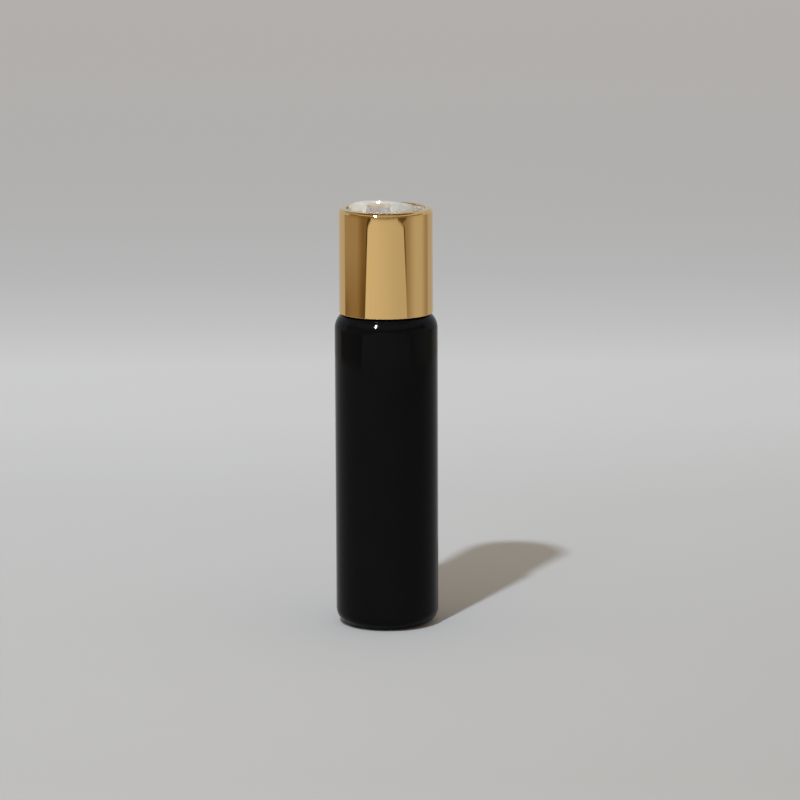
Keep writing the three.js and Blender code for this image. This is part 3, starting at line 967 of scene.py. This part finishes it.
def with_upper_room(shade, level, azimuth, height):
    """Levels with the upper room, a dark band and a dark line below it, and the ceiling"""
    sideways = shade.maths("ABSOLUTE", azimuth)
    level = blend(ranged(shade, height, *UPPER_START), level, ranged(shade, azimuth, *UPPER_LIGHT))
    dark = between(shade, height, *UPPER_BAND) + between(shade, height, *RIM_LINE)
    level = blend(dark * ranged(shade, sideways, *DARK_REACH), level, DARK_LEVEL)
    return blend(ranged(shade, height, *CEILING_START), level, ranged(shade, sideways, *CEILING_LIGHT))


def studio_surround():
    """What the polished shell mirrors: a bright panel, two walls, the room above and a pale rear"""
    material, shade = new_material("studio_surround")
    place = place_of(shade)
    x, y, height = [shade.node("ShaderNodeSeparateXYZ", sockets={0: place}, output=axis) for axis in "XYZ"]
    azimuth = shade.maths("DEGREES", shade.maths("ARCTAN2", x, 0 - y)) - math.degrees(CAMERA_AZIMUTH)
    right = ranged(shade, azimuth, *RIGHT_HALF)
    level = surround_walls(shade, azimuth, height, right)
    level = with_panel(shade, level, azimuth, height, right)
    level = with_upper_room(shade, level, azimuth, height)
    tint = mixed(shade, ranged(shade, level, *TINT_LEVELS), WARM_TINT, PALE_TINT)
    light = shade.node("ShaderNodeVectorMath", {"operation": "SCALE"}, {0: tint, "Scale": level})
    rear = ranged(shade, far_behind(shade, place), *REAR_REACH) * between(shade, height, *REAR_BAND)
    glow = shade.node("ShaderNodeEmission", sockets={"Color": mixed(shade, rear, light, REAR_TINT)})
    shade.node("ShaderNodeOutputMaterial", sockets={"Surface": glow})
    return material


def dress(piece, body, node, material):
    """Gives a piece its material and its body, and hides the solid that it stands for"""
    piece.data.materials.clear()
    piece.data.materials.append(material)
    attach(piece, body)
    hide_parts(node)


def make_floor():
    """A round pale floor"""
    bpy.ops.object.select_all(action="DESELECT")
    bpy.ops.mesh.primitive_circle_add(vertices=ROUND_STEPS, radius=FLOOR_RADIUS, fill_type="NGON")
    floor = close_editing("floor")
    floor.data.materials.append(pale_paper())


def make_surround():
    """The domed ring of studio surroundings that only reflections show"""
    outline = [(SURROUND_RADIUS, SURROUND_BOTTOM), *arc((0, SURROUND_EAVES), SURROUND_RADIUS, 0, 90)]
    surround = spun("surround", outline)
    surround.data.materials.append(studio_surround())
    surround.visible_camera = False
    surround.visible_diffuse = False
    surround.visible_shadow = False
    surround.visible_transmission = False


def make_lamp(name, azimuth, elevation, distance, power):
    """An area lamp that faces the bottle"""
    bpy.ops.object.light_add(type="AREA", location=direction(azimuth, elevation) * distance)
    lamp = bpy.context.object
    lamp.name = name
    lamp.rotation_euler = lamp.location.to_track_quat("Z", "Y").to_euler()
    lamp.data.energy = power
    return lamp


def make_lamps():
    """The key lamp in front, up to the left, and a strip lamp that only reflections show"""
    key = make_lamp("key_light", KEY_AZIMUTH, KEY_ELEVATION, KEY_DISTANCE, KEY_POWER)
    key.data.shape = "DISK"
    key.data.size = KEY_SIZE
    key.data.color = KEY_COLOUR
    key.visible_glossy = False
    catch = make_lamp("catch_light", CATCH_AZIMUTH, CATCH_ELEVATION, CATCH_DISTANCE, CATCH_POWER)
    catch.data.shape = "ELLIPSE"
    catch.data.size = CATCH_WIDTH
    catch.data.size_y = CATCH_HEIGHT
    catch.rotation_euler.rotate_axis("Z", CATCH_ROLL)
    catch.visible_diffuse = False


def make_world():
    """Even pale light all round, seen and mirrored as the colour of the far floor"""
    world = bpy.data.worlds.new("pale_room")
    bpy.context.scene.world = world
    world.use_nodes = True
    world.node_tree.nodes.clear()
    shade = Shade(world.node_tree)
    kinds = ("Camera", "Glossy", "Transmission")
    rays = [shade.node("ShaderNodeLightPath", output=f"Is {kind} Ray") for kind in kinds]
    seen = shade.maths("MAXIMUM", shade.maths("MAXIMUM", rays[0], rays[1]), rays[2])
    colour = mixed(shade, seen, ROOM_COLOUR, FAR_COLOUR)
    background = shade.node("ShaderNodeBackground", sockets={"Color": colour})
    shade.node("ShaderNodeOutputWorld", sockets={"Surface": background})


def make_camera():
    """The camera at the photograph's angle"""
    bpy.ops.object.camera_add()
    camera = bpy.context.object
    turn = Matrix.Rotation(CAMERA_AZIMUTH - CAMERA_PAN, 4, "Z")
    nod = Matrix.Rotation(math.pi / 2 - CAMERA_PITCH, 4, "X")
    roll = Matrix.Rotation(CAMERA_ROLL, 4, "Z")
    place = direction(CAMERA_AZIMUTH, 0) * CAMERA_DISTANCE + Vector((0, 0, CAMERA_HEIGHT))
    camera.matrix_world = Matrix.Translation(place) @ turn @ nod @ roll
    camera.data.sensor_width = SENSOR_WIDTH
    camera.data.lens = CAMERA_LENS
    camera.data.clip_start = CAMERA_NEAR
    camera.data.clip_end = CAMERA_FAR
    bpy.context.scene.camera = camera


dress(make_bottle(), "bottle", "bottle", black_blown_plastic())
dress(make_liner(), "liner", "neck_gasket", foam_liner())
cap_white = white_moulded_plastic("cap_white_plastic", *CAP_TONES)
dress(make_cap(), "cap", "cap_body", cap_white)
dress(make_shell(), "cap", "cap_shell", polished_gold())
# The disc's plastic, with a painted glow inside its nozzle
disc_white = white_moulded_plastic("disc_white_plastic", *DISC_TONES, inside=NOZZLE_PAINTED_GLOW)
dress(make_disc(), "disc", "tilt_disc", disc_white)

make_floor()
make_surround()
make_lamps()
make_world()
make_camera()
bpy.context.scene.view_settings.view_transform = "Standard"
